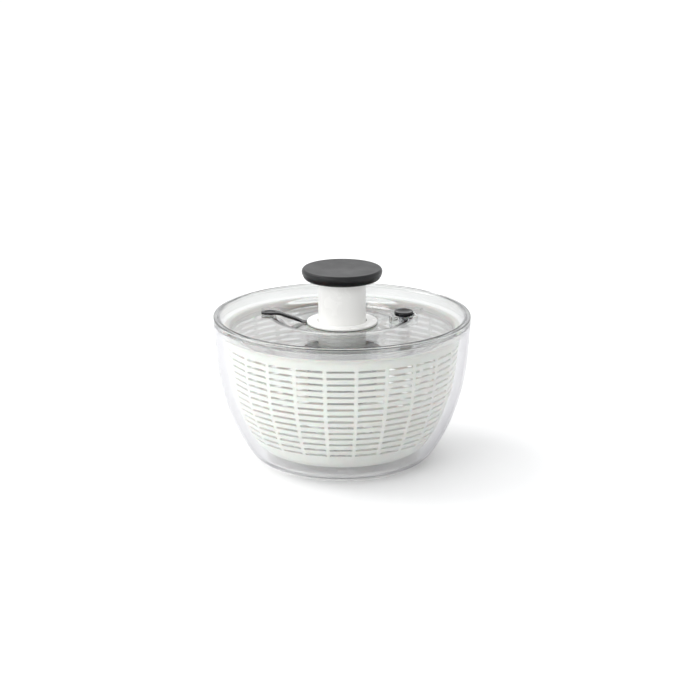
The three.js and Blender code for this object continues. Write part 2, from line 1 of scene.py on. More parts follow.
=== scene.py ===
"""Push-pump salad spinner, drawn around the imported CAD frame.

Lengths are written in millimetres and turned into metres by the mesh builders. The spin axis is
+Z through the origin; the knob lock lies towards -X and the brake button towards +X.
"""

import math

import bmesh
import bpy
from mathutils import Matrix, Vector

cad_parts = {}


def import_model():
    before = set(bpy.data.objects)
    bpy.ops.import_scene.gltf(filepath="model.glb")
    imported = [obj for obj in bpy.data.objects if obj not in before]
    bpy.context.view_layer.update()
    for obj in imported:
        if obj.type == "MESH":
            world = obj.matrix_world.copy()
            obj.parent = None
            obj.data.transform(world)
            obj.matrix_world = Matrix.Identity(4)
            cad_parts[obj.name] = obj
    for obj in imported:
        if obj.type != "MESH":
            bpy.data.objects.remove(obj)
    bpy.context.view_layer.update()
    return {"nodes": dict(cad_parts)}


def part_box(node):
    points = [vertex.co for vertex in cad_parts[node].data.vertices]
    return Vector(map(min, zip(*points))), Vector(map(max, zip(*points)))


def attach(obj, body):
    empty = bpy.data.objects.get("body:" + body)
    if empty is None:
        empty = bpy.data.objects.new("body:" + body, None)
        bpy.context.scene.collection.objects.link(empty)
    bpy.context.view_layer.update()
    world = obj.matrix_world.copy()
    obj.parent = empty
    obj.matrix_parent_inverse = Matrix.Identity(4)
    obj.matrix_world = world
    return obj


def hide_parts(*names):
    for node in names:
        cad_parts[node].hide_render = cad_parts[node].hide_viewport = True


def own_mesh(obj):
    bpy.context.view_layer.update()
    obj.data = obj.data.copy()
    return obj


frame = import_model()

MM = 0.001
ROUND = 192  # segments of the large round pieces
SMALL = 72  # segments of the small ones
SHARP = math.radians(32)


# ---- sizes, read from the frame ----
def low(node, axis=2):
    """Lowest coordinate of a node's box along an axis."""
    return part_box(node)[0][axis] / MM


def high(node, axis=2):
    """Highest coordinate of a node's box along an axis."""
    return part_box(node)[1][axis] / MM


RIM_R = high("lid_cover", 0)
LID_TOP = high("lid_cover")
BOWL_RIM = high("bowl")
BOWL_UNDER = low("bowl")
FOOT_R = high("non_slip_ring", 0)
FOOT_TOP = high("non_slip_ring")
BASKET_TOP = high("basket")
BASKET_LIP_R = 123.5
BASKET_R = BASKET_LIP_R - 3.5
COLLAR_R = high("collar", 0)
COLLAR_TOP = high("collar")
COLLAR_LOW = low("collar")
POST_R = 24.9
POST_LOW = low("plunger_tube")
POST_TOP = high("plunger_tube")
KNOB_R = high("knob_grip", 0)
KNOB_TOP = high("knob_grip")
KNOB_LOW = low("knob_grip")
CORE_R = high("knob_core", 0)
HOUSING_R = 30.0
HOUSING_LOW = low("drive_housing")
HOUSING_TOP = high("drive_housing")
HOUSING_FLANGE_R = 38.0
COVER_TOP_DISC = 136.0
COVER_R = 116.8
COVER_LOW = low("basket_cover")
BRAKE_X = 64.0
RECESS_R = 68.5
RECESS_FLOOR_R = 59.0
RECESS_FLOOR = 146.0
BRAKE_WELL_R = 12.6
WALL = 2.8
TRAVEL = 43.5


# ---- mesh helpers ----
def new_object(name, vertices, faces, smooth=True):
    """Mesh object from millimetre points, welded and facing out."""
    mesh = bpy.data.meshes.new(name)
    mesh.from_pydata([[c * MM for c in v] for v in vertices], [], faces)
    mesh.validate()
    work = bmesh.new()
    work.from_mesh(mesh)
    bmesh.ops.remove_doubles(work, verts=work.verts, dist=1e-7)
    bmesh.ops.recalc_face_normals(work, faces=work.faces)
    work.to_mesh(mesh)
    work.free()
    if smooth:
        mesh.shade_smooth()
        mesh.set_sharp_from_angle(angle=SHARP)
    obj = bpy.data.objects.new(name, mesh)
    bpy.context.scene.collection.objects.link(obj)
    return obj


def bake_modifiers(obj):
    """Turns an object's modifiers into plain mesh."""
    bpy.context.view_layer.update()
    graph = bpy.context.evaluated_depsgraph_get()
    done = bpy.data.meshes.new_from_object(obj.evaluated_get(graph))
    obj.modifiers.clear()
    obj.data = done


def smooth_again(obj, angle=SHARP):
    obj.data.shade_smooth()
    obj.data.set_sharp_from_angle(angle=angle)


def combine(obj, tools, operation):
    """Boolean of obj with each tool; the tools are used up."""
    for tool in tools:
        step = obj.modifiers.new("cut", "BOOLEAN")
        step.operation = operation
        step.solver = "EXACT"
        step.object = tool
        bake_modifiers(obj)
        bpy.data.objects.remove(tool)
    smooth_again(obj)


def soften_edges(obj, width, segments, angle):
    """Bevels the edges that are sharper than an angle in degrees."""
    bevel = obj.modifiers.new("bevel", "BEVEL")
    bevel.width = width * MM
    bevel.segments = segments
    bevel.limit_method = "ANGLE"
    bevel.angle_limit = math.radians(angle)
    bevel.use_clamp_overlap = True
    bake_modifiers(obj)
    smooth_again(obj)


def rounded(corners, steps=4):
    """Polyline through (r, z, fillet) corners, with each fillet drawn as a short curve."""
    path = []
    count = len(corners)
    for i, (r, z, fillet) in enumerate(corners):
        here = Vector((r, z))
        if fillet <= 0:
            path.append(here)
            continue
        before = Vector(corners[i - 1][:2]) - here
        after = Vector(corners[(i + 1) % count][:2]) - here
        reach = min(fillet, before.length * 0.49, after.length * 0.49)
        start = here + before.normalized() * reach
        end = here + after.normalized() * reach
        for k in range(steps + 1):
            t = k / steps
            path.append(start.lerp(here, t).lerp(here.lerp(end, t), t))
    return [(p.x, p.y) for p in path]


def curve_through(points, steps=6):
    """Catmull-Rom curve through (r, z) points."""
    ends = [Vector(p) for p in points]
    ends = [2 * ends[0] - ends[1], *ends, 2 * ends[-1] - ends[-2]]
    out = []
    for a, b, c, d in zip(ends, ends[1:], ends[2:], ends[3:]):
        for k in range(steps):
            t = k / steps
            out.append(
                0.5
                * (2 * b + (c - a) * t + (2 * a - 5 * b + 4 * c - d) * t * t
                   + (3 * b - a - 3 * c + d) * t**3)
            )
    out.append(ends[-2])
    return [(p.x, p.y) for p in out]


def lathe(name, profile, segments=SMALL, centre=(0.0, 0.0)):
    """Solid of revolution from a closed (r, z) outline; points on the axis become poles."""
    rings = []
    vertices = []
    for r, z in profile:
        if r < 1e-6:
            rings.append([len(vertices)])
            vertices.append((centre[0], centre[1], z))
            continue
        ring = []
        for k in range(segments):
            a = 2 * math.pi * k / segments
            ring.append(len(vertices))
            vertices.append((centre[0] + r * math.cos(a), centre[1] + r * math.sin(a), z))
        rings.append(ring)
    faces = []
    pairs = list(zip(rings, rings[1:]))
    if len(rings[0]) > 1 and len(rings[-1]) > 1:
        pairs.append((rings[-1], rings[0]))
    for lower, upper in pairs:
        for k in range(segments):
            n = (k + 1) % segments
            if len(lower) == 1 and len(upper) == 1:
                continue
            if len(lower) == 1:
                faces.append((lower[0], upper[n], upper[k]))
            elif len(upper) == 1:
                faces.append((lower[k], lower[n], upper[0]))
            else:
                faces.append((lower[k], lower[n], upper[n], upper[k]))
    return new_object(name, vertices, faces)


def cylinder(name, radius, z_low, z_high, centre=(0.0, 0.0), segments=SMALL):
    outline = [(0, z_low), (radius, z_low), (radius, z_high), (0, z_high)]
    return lathe(name, outline, segments, centre)


def slab(name, x, y, z, turn=0.0):
    """Box between two corners, turned about the axis by an angle in degrees."""
    c, s = math.cos(math.radians(turn)), math.sin(math.radians(turn))
    corners = [(i, j, k) for i in x for j in y for k in z]
    vertices = [(i * c - j * s, i * s + j * c, k) for i, j, k in corners]
    faces = [(0, 1, 3, 2), (4, 6, 7, 5), (0, 4, 5, 1), (2, 3, 7, 6), (0, 2, 6, 4), (1, 5, 7, 3)]
    return new_object(name, vertices, faces, smooth=False)


def place(obj, body, slot, material, *nodes):
    """Gives a finished piece its body and material, and hides the CAD nodes it stands for.

    The bowl and its foot let the lamps through, as clear plastic does.
    """
    obj.visible_shadow = not (body == "bowl" and slot.startswith("clear"))
    obj.data.materials.clear()
    obj.data.materials.append(material)
    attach(obj, body)
    if nodes:
        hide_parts(*nodes)
    return obj


# ---- materials ----
class Nodes:
    """Small helper around one material's node tree."""

    def __init__(self, name):
        self.material = bpy.data.materials.new(name)
        self.material.use_nodes = True
        self.tree = self.material.node_tree
        self.shader = self.tree.nodes["Principled BSDF"]
        self.coordinates = self.add("ShaderNodeTexCoord").outputs["Object"]

    def add(self, kind, **values):
        node = self.tree.nodes.new(kind)
        for key, value in values.items():
            if hasattr(node, key):
                setattr(node, key, value)
            else:
                node.inputs[key.replace("_", " ")].default_value = value
        return node

    def link(self, out, into):
        self.tree.links.new(out, into)

    def set(self, **values):
        for key, value in values.items():
            self.shader.inputs[key.replace("_", " ")].default_value = value

    def noise(self, scale, detail=4.0, stretch=(1, 1, 1)):
        mapping = self.add("ShaderNodeMapping")
        mapping.inputs["Scale"].default_value = stretch
        self.link(self.coordinates, mapping.inputs["Vector"])
        texture = self.add("ShaderNodeTexNoise", Scale=scale, Detail=detail)
        self.link(mapping.outputs["Vector"], texture.inputs["Vector"])
        return texture.outputs["Fac"]

    def spread(self, source, low_value, high_value, start=0.3, end=0.7):
        ranged = self.add("ShaderNodeMapRange")
        ranged.inputs["From Min"].default_value = start
        ranged.inputs["From Max"].default_value = end
        ranged.inputs["To Min"].default_value = low_value
        ranged.inputs["To Max"].default_value = high_value
        self.link(source, ranged.inputs["Value"])
        return ranged.outputs["Result"]

    def blend_colours(self, factor, first, second):
        ramp = self.add("ShaderNodeValToRGB")
        ramp.color_ramp.elements[0].color = (*first, 1)
        ramp.color_ramp.elements[1].color = (*second, 1)
        self.link(factor, ramp.inputs["Fac"])
        return ramp.outputs["Color"]

    def bump(self, height, strength, distance):
        bump = self.add("ShaderNodeBump", Strength=strength, Distance=distance * MM)
        self.link(height, bump.inputs["Height"])
        self.link(bump.outputs["Normal"], self.shader.inputs["Normal"])


def clear_plastic(name, tint, edge_shade, roughness, graze_from, milk):
    """Clear moulded plastic: milkier towards grazing edges and darker there by painted shade, with haze and
    waviness.
    """
    m = Nodes(name)
    m.set(IOR=1.5)
    rim = m.add("ShaderNodeLayerWeight", Blend=0.5)
    clarity = m.spread(rim.outputs["Facing"], 1.0 - milk, 1.0 - 3.5 * milk, 0.15, 0.85)
    m.link(clarity, m.shader.inputs["Transmission Weight"])
    # painted shade: towards grazing edges the base colour turns from the tint to the darker edge shade
    # colour
    edge_shade_mask = m.spread(rim.outputs["Facing"], 0.0, 1.0, graze_from, 0.98)
    m.link(m.blend_colours(edge_shade_mask, tint, edge_shade), m.shader.inputs["Base Color"])
    haze = m.noise(9.0, 3.0)
    scratches = m.noise(240.0, 2.0, (1, 1, 6))
    both = m.add("ShaderNodeMath", operation="MULTIPLY")
    m.link(haze, both.inputs[0])
    m.link(scratches, both.inputs[1])
    gloss = m.spread(both.outputs[0], roughness, roughness * 2.2, 0.2, 0.45)
    m.link(gloss, m.shader.inputs["Roughness"])
    m.bump(m.noise(16.0, 1.0), 0.04, 0.12)
    inside = m.add("ShaderNodeVolumeAbsorption", Color=(0.68, 0.68, 0.72, 1), Density=2.5)
    m.link(inside.outputs["Volume"], m.tree.nodes["Material Output"].inputs["Volume"])
    return m.material


def moulded(name, colour, shade, roughness, grain=900.0, relief=0.02, **extra):
    """Opaque moulded plastic or rubber: fine grain, slight colour drift and uneven gloss."""
    m = Nodes(name)
    m.set(**extra)
    drift = m.spread(m.noise(14.0, 5.0), 0.0, 1.0, 0.35, 0.65)
    m.link(m.blend_colours(drift, colour, shade), m.shader.inputs["Base Color"])
    fine = m.noise(grain, 2.0)
    m.link(m.spread(m.noise(55.0, 6.0), roughness * 0.88, roughness * 1.12), m.shader.inputs["Roughness"])
    m.bump(fine, 0.35, relief)
    return m.material


def metal(name, colour, roughness):
    """Drawn stainless steel with fine lengthwise lines."""
    m = Nodes(name)
    m.set(Metallic=1.0, Anisotropic=0.4)
    lines = m.noise(700.0, 3.0, (1, 1, 0.1))
    darker = tuple(c * 0.82 for c in colour)
    m.link(m.blend_colours(lines, darker, colour), m.shader.inputs["Base Color"])
    m.link(m.spread(lines, roughness * 0.7, roughness * 1.4), m.shader.inputs["Roughness"])
    m.bump(lines, 0.2, 0.01)
    return m.material


# The third colour of each clear plastic is painted shade at its grazing edges.
CLEAR = clear_plastic("clear_plastic", (0.945, 0.947, 0.952), (0.27, 0.255, 0.325),
                      roughness=0.008, graze_from=0.56, milk=0.07)
CLEAR_LID = clear_plastic("clear_lid_plastic", (0.915, 0.925, 0.915), (0.14, 0.13, 0.2),
                          roughness=0.006, graze_from=0.76, milk=0.0)
SOFT_CLEAR = clear_plastic("clear_foot_plastic", (0.97, 0.97, 0.965), (0.92, 0.91, 0.94),
                           roughness=0.08, graze_from=0.6, milk=0.42)
WHITE = moulded("white_plastic", (0.85, 0.855, 0.79), (0.825, 0.83, 0.76), 0.36,
                Subsurface_Weight=0.3, Subsurface_Scale=0.008)
POST_WHITE = moulded("white_post_plastic", (0.935, 0.93, 0.91), (0.92, 0.915, 0.89), 0.26, 1200.0, 0.008,
                     Coat_Weight=0.25, Coat_Roughness=0.12)
ACETAL = moulded("acetal", (0.74, 0.73, 0.69), (0.7, 0.69, 0.65), 0.42)
SOFT_BLACK = moulded("soft_black_grip", (0.005, 0.005, 0.006), (0.007, 0.007, 0.008), 0.36, 1500.0, 0.012,
                     Specular_IOR_Level=0.32)
GLOSS_BLACK = moulded("gloss_black_plastic", (0.006, 0.006, 0.007), (0.009, 0.009, 0.01), 0.15,
                      1200.0, 0.004, Specular_IOR_Level=0.26)
PAD_RUBBER = moulded("pad_rubber", (0.03, 0.03, 0.031), (0.045, 0.044, 0.043), 0.8, 700.0, 0.05)
STEEL = metal("stainless_steel", (0.62, 0.63, 0.65), 0.24)


# ---- bowl ----
BOWL_OUTLINE = [
    (96, 11), (102.6, 21), (112.7, 40), (120.6, 60), (126.2, 80), (130.3, 102), (132.3, 124),
    (133.1, 138), (RIM_R, 144.6),
]
RIM_WALL = 3.4
PIN_R = 5.0
PIN_TOP = 16.5


def bowl():
    wall = curve_through(BOWL_OUTLINE)
    outline = rounded([
        (0, BOWL_UNDER, 0),
        (84.5, BOWL_UNDER, 1.5),
        (89.5, BOWL_UNDER + 0.2, 2.5),
        *[(r, z, 0) for r, z in wall],
        (RIM_R, 145.4, 0),
        (RIM_R, BOWL_RIM, 0.7),
        (RIM_R - RIM_WALL, BOWL_RIM, 0.7),
        (RIM_R - RIM_WALL, 143.4, 1.5),
        *[(r - WALL, z, 0) for r, z in reversed(wall) if 12 < z < 136],
        (88.5, 7.0, 3),
        (PIN_R + 1.0, 7.0, 0.6),
        (PIN_R, 8.0, 0.4),
        (PIN_R, PIN_TOP - 2, 1.2),
        (0, PIN_TOP, 0),
    ], 5)
    place(lathe("bowl_shell", outline, ROUND), "bowl", "clear_plastic", CLEAR, "bowl")


def foot():
    outline = rounded([
        (FOOT_R - 5.5, 0, 0.6),
        (FOOT_R - 3.6, 0, 0.3),
        (FOOT_R - 3.2, 0.7, 0.3),
        (FOOT_R - 2.4, 0.7, 0.3),
        (FOOT_R - 2.0, 0, 0.3),
        (FOOT_R, 0, 0.9),
        (FOOT_R, FOOT_TOP, 0.7),
        (FOOT_R - 5.5, FOOT_TOP, 0.5),
    ])
    place(lathe("foot_ring", outline, ROUND), "bowl", "clear_soft_plastic", SOFT_CLEAR, "non_slip_ring")


# ---- basket ----
RIBS = 24
RIB_PHASE = 6.7  # degrees from the front to the first rib
PITCH = 360 / RIBS
RIB_HALF = 0.95
WINDOW_STEPS = (3.3, 5.8, 8.3, 10.8, 12.5)  # where a window is divided, in degrees from its rib
POCKET = (5.8, 10.8)  # the rim's pockets lie between these two, in every sixth window
POCKET_DEPTH = 1.4
POCKET_LOW = 133.6
RIB_HEIGHT = 0.7
SLOT_ROWS = 15
SLOT_TOP = 128.6
SLOT_PITCH = 6.75
SLOT_HEIGHT = 2.5
BASKET_WALL = 2.2
BASKET_OUTLINE = [
    (78.5, 14.6), (86, 19), (91.2, 25), (99.6, 38.2), (105.3, 52), (111, 67.6), (114.8, 81),
    (117.8, 101), (119.8, 118), (BASKET_R, 128.6),
]
LUG_COUNT = 4


def height_to_radius(outline):
    """Function that gives the outline's radius at a height."""
    fine = curve_through(outline, 10)

    def radius(z):
        for (r0, z0), (r1, z1) in zip(fine, fine[1:]):
            if z0 <= z <= z1:
                return r0 + (r1 - r0) * (z - z0) / max(z1 - z0, 1e-9)
        return fine[-1][0] if z > fine[-1][1] else fine[0][0]

    return radius


def basket_rows():
    """(outer r, outer z, inner r, inner z, pierced, rib height) from the hub out and up."""
    hub_r = 12.2
    floor_z = 14.0
    rows = []
    rings = [(hub_r, False), (17, False), (20, True), (33, False), (36, True), (49, False),
             (52, True), (65, False), (70, False), (74.5, False)]
    for r, pierced in rings:
        rows.append((r, floor_z, r, floor_z + BASKET_WALL, pierced, 0))
    rows.append((79.5, 14.9, 77.8, 17.0, False, 0))
    rows.append((84, 17.4, 82.0, 19.3, False, 0))
    radius = height_to_radius(BASKET_OUTLINE)
    lowest = SLOT_TOP - SLOT_ROWS * SLOT_PITCH + (SLOT_PITCH - SLOT_HEIGHT)
    for z in (22.4, lowest - 1.0):
        rows.append((radius(z), z, radius(z) - BASKET_WALL, z + 0.6, False, RIB_HEIGHT))
    for k in range(SLOT_ROWS):
        base = lowest + k * SLOT_PITCH
        for z, pierced in ((base, True), (base + SLOT_HEIGHT, False)):
            rows.append((radius(z), z, radius(z) - BASKET_WALL, z, pierced, RIB_HEIGHT))
    rim_in = BASKET_R - 2.4
    rows.append((BASKET_R, POCKET_LOW - 0.2, rim_in, POCKET_LOW - 0.2, False, 0))
    rows.append((BASKET_R, POCKET_LOW, rim_in, POCKET_LOW + 0.1, False, 0))
    rows.append((BASKET_R, 137.2, rim_in, 136.5, False, 0))
    rows.append((BASKET_R + 0.6, 138.3, rim_in, 138.0, False, 0))
    rows.append((BASKET_LIP_R - 0.8, 138.6, rim_in, 138.6, False, 0))
    rows.append((BASKET_LIP_R, 139.4, rim_in, 139.4, False, 0))
    rows.append((BASKET_LIP_R - 0.2, 140.4, rim_in + 0.2, 140.4, False, 0))
    rows.append((BASKET_LIP_R - 1.0, BASKET_TOP, rim_in + 1, BASKET_TOP, False, 0))
    return rows


def basket_stations():
    """Angles round the basket, as (degrees, on a rib, at a pocket)."""
    stations = []
    for k in range(RIBS):
        middle = -90 + RIB_PHASE + k * PITCH
        pocketed = (k - 8) % (RIBS // LUG_COUNT) == 0
        stations.append((middle - RIB_HALF, True, False))
        stations.append((middle + RIB_HALF, False, False))
        for step in WINDOW_STEPS:
            inside = pocketed and POCKET[0] <= step <= POCKET[1]
            stations.append((middle + step, False, inside))
    return stations


def pierced_shell(name, rows, stations):
    """Closed shell on a grid of rows and angles, left open where a row is pierced."""
    columns = len(stations)
    vertices = []
    for outer_r, outer_z, inner_r, inner_z, _, rib in rows:
        for i, (angle, on_rib, pocket) in enumerate(stations):
            ribbed = on_rib or stations[i - 1][1]
            r = outer_r + (rib if ribbed else 0)
            r_in = inner_r + (POCKET_DEPTH if pocket and inner_z > POCKET_LOW else 0)
            c, s = math.cos(math.radians(angle)), math.sin(math.radians(angle))
            vertices.append((r * c, r * s, outer_z))
            vertices.append((r_in * c, r_in * s, inner_z))

    def at(i, j, side):
        return 2 * (i * columns + j % columns) + side

    def solid(i, j):
        if not 0 <= i < len(rows) - 1:
            return False
        return stations[j % columns][1] or not rows[i][4]

    faces = []
    for i in range(len(rows) - 1):
        for j in range(columns):
            if not solid(i, j):
                continue
            faces.append((at(i, j, 0), at(i, j + 1, 0), at(i + 1, j + 1, 0), at(i + 1, j, 0)))
            faces.append((at(i, j, 1), at(i + 1, j, 1), at(i + 1, j + 1, 1), at(i, j + 1, 1)))
            if not solid(i - 1, j):
                faces.append((at(i, j, 0), at(i, j, 1), at(i, j + 1, 1), at(i, j + 1, 0)))
            if not solid(i + 1, j):
                faces.append((at(i + 1, j, 0), at(i + 1, j + 1, 0), at(i + 1, j + 1, 1), at(i + 1, j, 1)))
            if not solid(i, j - 1):
                faces.append((at(i, j, 0), at(i + 1, j, 0), at(i + 1, j, 1), at(i, j, 1)))
            if not solid(i, j + 1):
                faces.append((at(i, j + 1, 0), at(i, j + 1, 1), at(i + 1, j + 1, 1), at(i + 1, j + 1, 0)))
    return new_object(name, vertices, faces)


def basket():
    shell = pierced_shell("basket_shell", basket_rows(), basket_stations())
    hub_r = 12.6
    hub_top = high("pivot_bush") + 0.4
    socket_r = high("pivot_bush", 0) + 0.4
    hub = lathe("basket_hub", rounded([
        (socket_r, low("basket"), 0.2),
        (hub_r, low("basket"), 0.6),
        (hub_r, hub_top + 2.8, 1.6),
        (0.001, hub_top + 2.8, 0),
        (0.001, hub_top, 0),
        (socket_r, hub_top, 0.4),
    ]))
    combine(shell, [hub], "UNION")
    soften_edges(shell, 0.28, 1, 50)
    place(shell, "basket", "white_plastic", WHITE, "basket")


# ---- lid ----
def lid():
    under = LID_TOP - 2.8
    skirt_low = low("lid_cover")
    edge_under = skirt_low + 7.2
    skirt_r = RIM_R - 4.0
    floor_under = RECESS_FLOOR - 2.4
    hole_r = 27.6
    plate = lathe("lid_shell", rounded([
        (hole_r, RECESS_FLOOR, 0.3),
        (RECESS_FLOOR_R, RECESS_FLOOR, 7),
        (RECESS_R, LID_TOP, 7),
        (RIM_R - 5.2, LID_TOP, 0.4),
        (RIM_R - 4.4, LID_TOP - 0.9, 0.5),
        (RIM_R - 3.6, LID_TOP, 0.4),
        (RIM_R, LID_TOP, 1.3),
        (RIM_R, edge_under, 0.8),
        (skirt_r, edge_under, 0.4),
        (skirt_r, skirt_low, 0.8),
        (skirt_r - 2.2, skirt_low, 0.6),
        (skirt_r - 2.2, under, 0.8),
        (RECESS_R + 1.5, under, 6),
        (RECESS_FLOOR_R + 1.5, floor_under, 6),
        (hole_r, floor_under, 0.3),
    ], 8), ROUND)
    combine(plate, [
        cylinder("brake_cup", BRAKE_WELL_R + 2.4, floor_under, LID_TOP - 0.8, (BRAKE_X, 0)),
    ], "UNION")
    combine(plate, [
        cylinder("brake_well", BRAKE_WELL_R, RECESS_FLOOR, LID_TOP + 5, (BRAKE_X, 0)),
        cylinder("stem_hole", 3.0, floor_under - 5, LID_TOP, (BRAKE_X, 0), 32),
    ], "DIFFERENCE")
    place(plate, "lid", "clear_plastic", CLEAR_LID, "lid_cover")


def collar():
    bore = 25.5
    seat = RECESS_FLOOR + 0.3
    spigot_r = 27.2
    shoulder = 148.5
    channel_top = 147.9
    ring = lathe("collar_ring", rounded([
        (bore, COLLAR_LOW, 0.2),
        (spigot_r, COLLAR_LOW, 0.3),
        (spigot_r, seat, 0.2),
        (COLLAR_R, seat, 0.4),
        (COLLAR_R, shoulder, 0.9),
        (bore + 3.0, shoulder, 0.4),
        (bore + 2.6, COLLAR_TOP, 0.4),
        (bore, COLLAR_TOP, 0.4),
    ], 5), ROUND)
    channel = slab("channel", (-COLLAR_R - 2, 1.5 - bore), (-5.2, 5.2), (140, channel_top))
    combine(ring, [channel], "DIFFERENCE")
    place(ring, "lid", "white_plastic", POST_WHITE, "collar")


def housing():
    floor = HOUSING_LOW + 2
    bearing_hole_r = 8.4
    inside_r = 27.8
    cup = lathe("housing_cup", rounded([
        (bearing_hole_r, HOUSING_LOW, 0.3),
        (HOUSING_R, HOUSING_LOW, 1.8),
        (HOUSING_R, HOUSING_TOP - 2.3, 0.8),
        (HOUSING_FLANGE_R, HOUSING_TOP - 2.3, 0.4),
        (HOUSING_FLANGE_R, HOUSING_TOP, 0.4),
        (inside_r, HOUSING_TOP, 0.4),
        (inside_r, floor, 0.8),
        (bearing_hole_r, floor, 0.3),
    ]), 120)
    keys = [
        slab(f"key_{turn}", (25.9, 29), (-2, 2), (floor - 1, HOUSING_TOP - 0.5), turn)
        for turn in (90, 270)
    ]
    combine(cup, keys, "UNION")
    place(cup, "lid", "white_plastic", WHITE, "drive_housing")


def cover():
    floor = COVER_LOW
    disc = COVER_TOP_DISC
    hub_hole_r = 13.9
    rim_low = 130.4
    body = lathe("cover_disc", rounded([
        (hub_hole_r, floor, 0.3),
        (35.7, floor, 1.6),
        (37.7, disc - 2, 1.2),
        (COVER_R - 2, disc - 2, 0.8),
        (COVER_R - 2, rim_low, 0.5),
        (COVER_R, rim_low, 0.5),
        (COVER_R, disc, 0.7),
        (35.5, disc, 1.4),
        (33.5, floor + 2.5, 1.2),
        (hub_hole_r, floor + 2.5, 0.3),
    ]), ROUND)
    lugs = [
        slab(f"lug_{k}", (COVER_R - 4, BASKET_R - 1.85), (-4.6, 4.6), (134.2, 137.8), 45 + 90 * k)
        for k in range(LUG_COUNT)
    ]
    combine(body, lugs, "UNION")
    place(body, "cover", "clear_plastic", CLEAR, "basket_cover")


# ---- pump ----
def plunger():
    inner = POST_R - 2.3
    flange_r = 27.1
    flange_top = POST_LOW + 3.4
    screw_hole_r = 2.2
    window_low, window_high = 145.9, 148.2
    tube = lathe("plunger_post", rounded([
        (inner, POST_LOW, 0.3),
        (flange_r, POST_LOW, 0.4),
        (flange_r, flange_top, 0.4),
        (POST_R, flange_top, 0.2),
        (POST_R, POST_TOP, 0.5),
        (screw_hole_r, POST_TOP, 0),
        (screw_hole_r, POST_TOP - 0.6, 0),
        (4, POST_TOP - 2, 0),
        (inner, POST_TOP - 2, 0.8),
    ]), 120)
    tools = [
        slab(f"keyway_{turn}", (POST_R + 0.1, 30), (-2.5, 2.5), (POST_LOW - 1, POST_LOW + 4), turn)
        for turn in (90, 270)
    ]
    tools += [
        slab(f"window_{k}", (-POST_R - 1, 1.5 - inner), (-5.4, 5.4), (window_low + rise, window_high + rise))
        for k, rise in enumerate((0, TRAVEL))
    ]
    combine(tube, tools, "DIFFERENCE")
    place(tube, "plunger", "white_plastic", POST_WHITE, "plunger_tube")


def knob():
    core_low, core_seat = 196.6, 197.2
    core_edge, core_top = 199.8, 201
    grip = lathe("knob_cap", rounded([
        (0.001, KNOB_TOP - 0.5, 0),
        (KNOB_R - 4.6, KNOB_TOP - 0.1, 6),
        (KNOB_R - 1.6, KNOB_TOP, 0.8),
        (KNOB_R - 0.1, KNOB_TOP - 1.9, 1.2),
        (KNOB_R, KNOB_TOP - 4.0, 1.5),
        (KNOB_R - 0.6, KNOB_LOW + 5.0, 2.5),
        (KNOB_R - 2.6, KNOB_LOW + 1.2, 1.8),
        (KNOB_R - 4.6, KNOB_LOW, 1.0),
        (POST_R + 0.5, KNOB_LOW, 0.5),
        (POST_R + 0.5, core_low, 0.3),
        (CORE_R - 1.8, core_seat, 0.4),
        (CORE_R + 0.4, core_edge, 0.4),
        (CORE_R - 0.4, core_top, 0.3),
        (0.001, core_top, 0),
    ], 6), ROUND)
    place(grip, "plunger", "soft_black", SOFT_BLACK, "knob_grip")


# ---- lock and brake ----
def loft(name, sections, sides=20):
    """Skin over rounded-rectangle sections: (centre, half width along Y, half thickness, tilt)."""
    squared = 0.45  # below 1, the oval section grows squarer
    vertices = []
    for (x, z), half_w, half_t, tilt in sections:
        for k in range(sides):
            a = 2 * math.pi * (k + 0.5) / sides
            c, s = math.cos(a), math.sin(a)
            u = half_t * math.copysign(abs(s) ** squared, s)
            v = half_w * math.copysign(abs(c) ** squared, c)
            vertices.append((x - u * math.sin(tilt), v, z + u * math.cos(tilt)))
    faces = []
    for i in range(len(sections) - 1):
        for k in range(sides):
            n = (k + 1) % sides
            a, b = i * sides, (i + 1) * sides
            faces.append((a + k, a + n, b + n, b + k))
    faces.append(tuple(range(sides)))
    faces.append(tuple(range((len(sections) - 1) * sides, len(sections) * sides)))
    obj = new_object(name, vertices, faces)
    skin = obj.modifiers.new("skin", "SUBSURF")
    skin.levels = 1
    skin.render_levels = 1
    bake_modifiers(obj)
    smooth_again(obj, math.radians(60))
    return obj


def lock():
    tongue_low = low("lock_lever")
    tongue = tongue_low + 0.6
    paddle = high("lock_lever") - 1.3
    climb = math.atan2(9, 22)
    arm = loft("lock_arm", [
        ((-26.0, tongue), 4.6, 0.5, 0),
        ((-26.3, tongue), 4.75, 0.55, 0),
        ((-36.0, tongue), 4.75, 0.5, 0),
        ((-40.2, tongue), 4.75, 0.5, 0),
        ((-41.0, tongue), 4.75, 0.55, 0),
        ((-43.0, tongue + 0.9), 4.5, 1.1, -climb * 0.5),
        ((-46.0, tongue + 2.3), 4.1, 1.5, -climb),
        ((-58.0, paddle - 3.4), 4.1, 1.5, -climb),
        ((-64.5, paddle - 0.8), 4.3, 1.4, -climb * 0.6),
        ((-68.0, paddle - 0.1), 6.4, 1.3, 0),
        ((-72.0, paddle), 6.9, 1.3, 0),
        ((-78.0, paddle), 6.9, 1.3, 0),
        ((-82.0, paddle), 5.6, 1.25, 0),
        ((-83.8, paddle), 3.4, 1.0, 0),
        ((-84.0, paddle), 2.4, 0.6, 0),
    ])
    dish = lathe("dish", rounded([(0, 0.6, 0), (3.9, 0.6, 0.2), (4.5, -0.6, 0.5), (0, -0.6, 0)]), 40)
    for vertex in dish.data.vertices:
        vertex.co.x = vertex.co.x * 1.3 - 75.0 * MM
        vertex.co.z += (paddle + 1.3) * MM
    combine(arm, [dish], "DIFFERENCE")
    soften_edges(arm, 0.25, 2, 50)
    place(arm, "lock", "gloss_black", GLOSS_BLACK, "lock_lever")


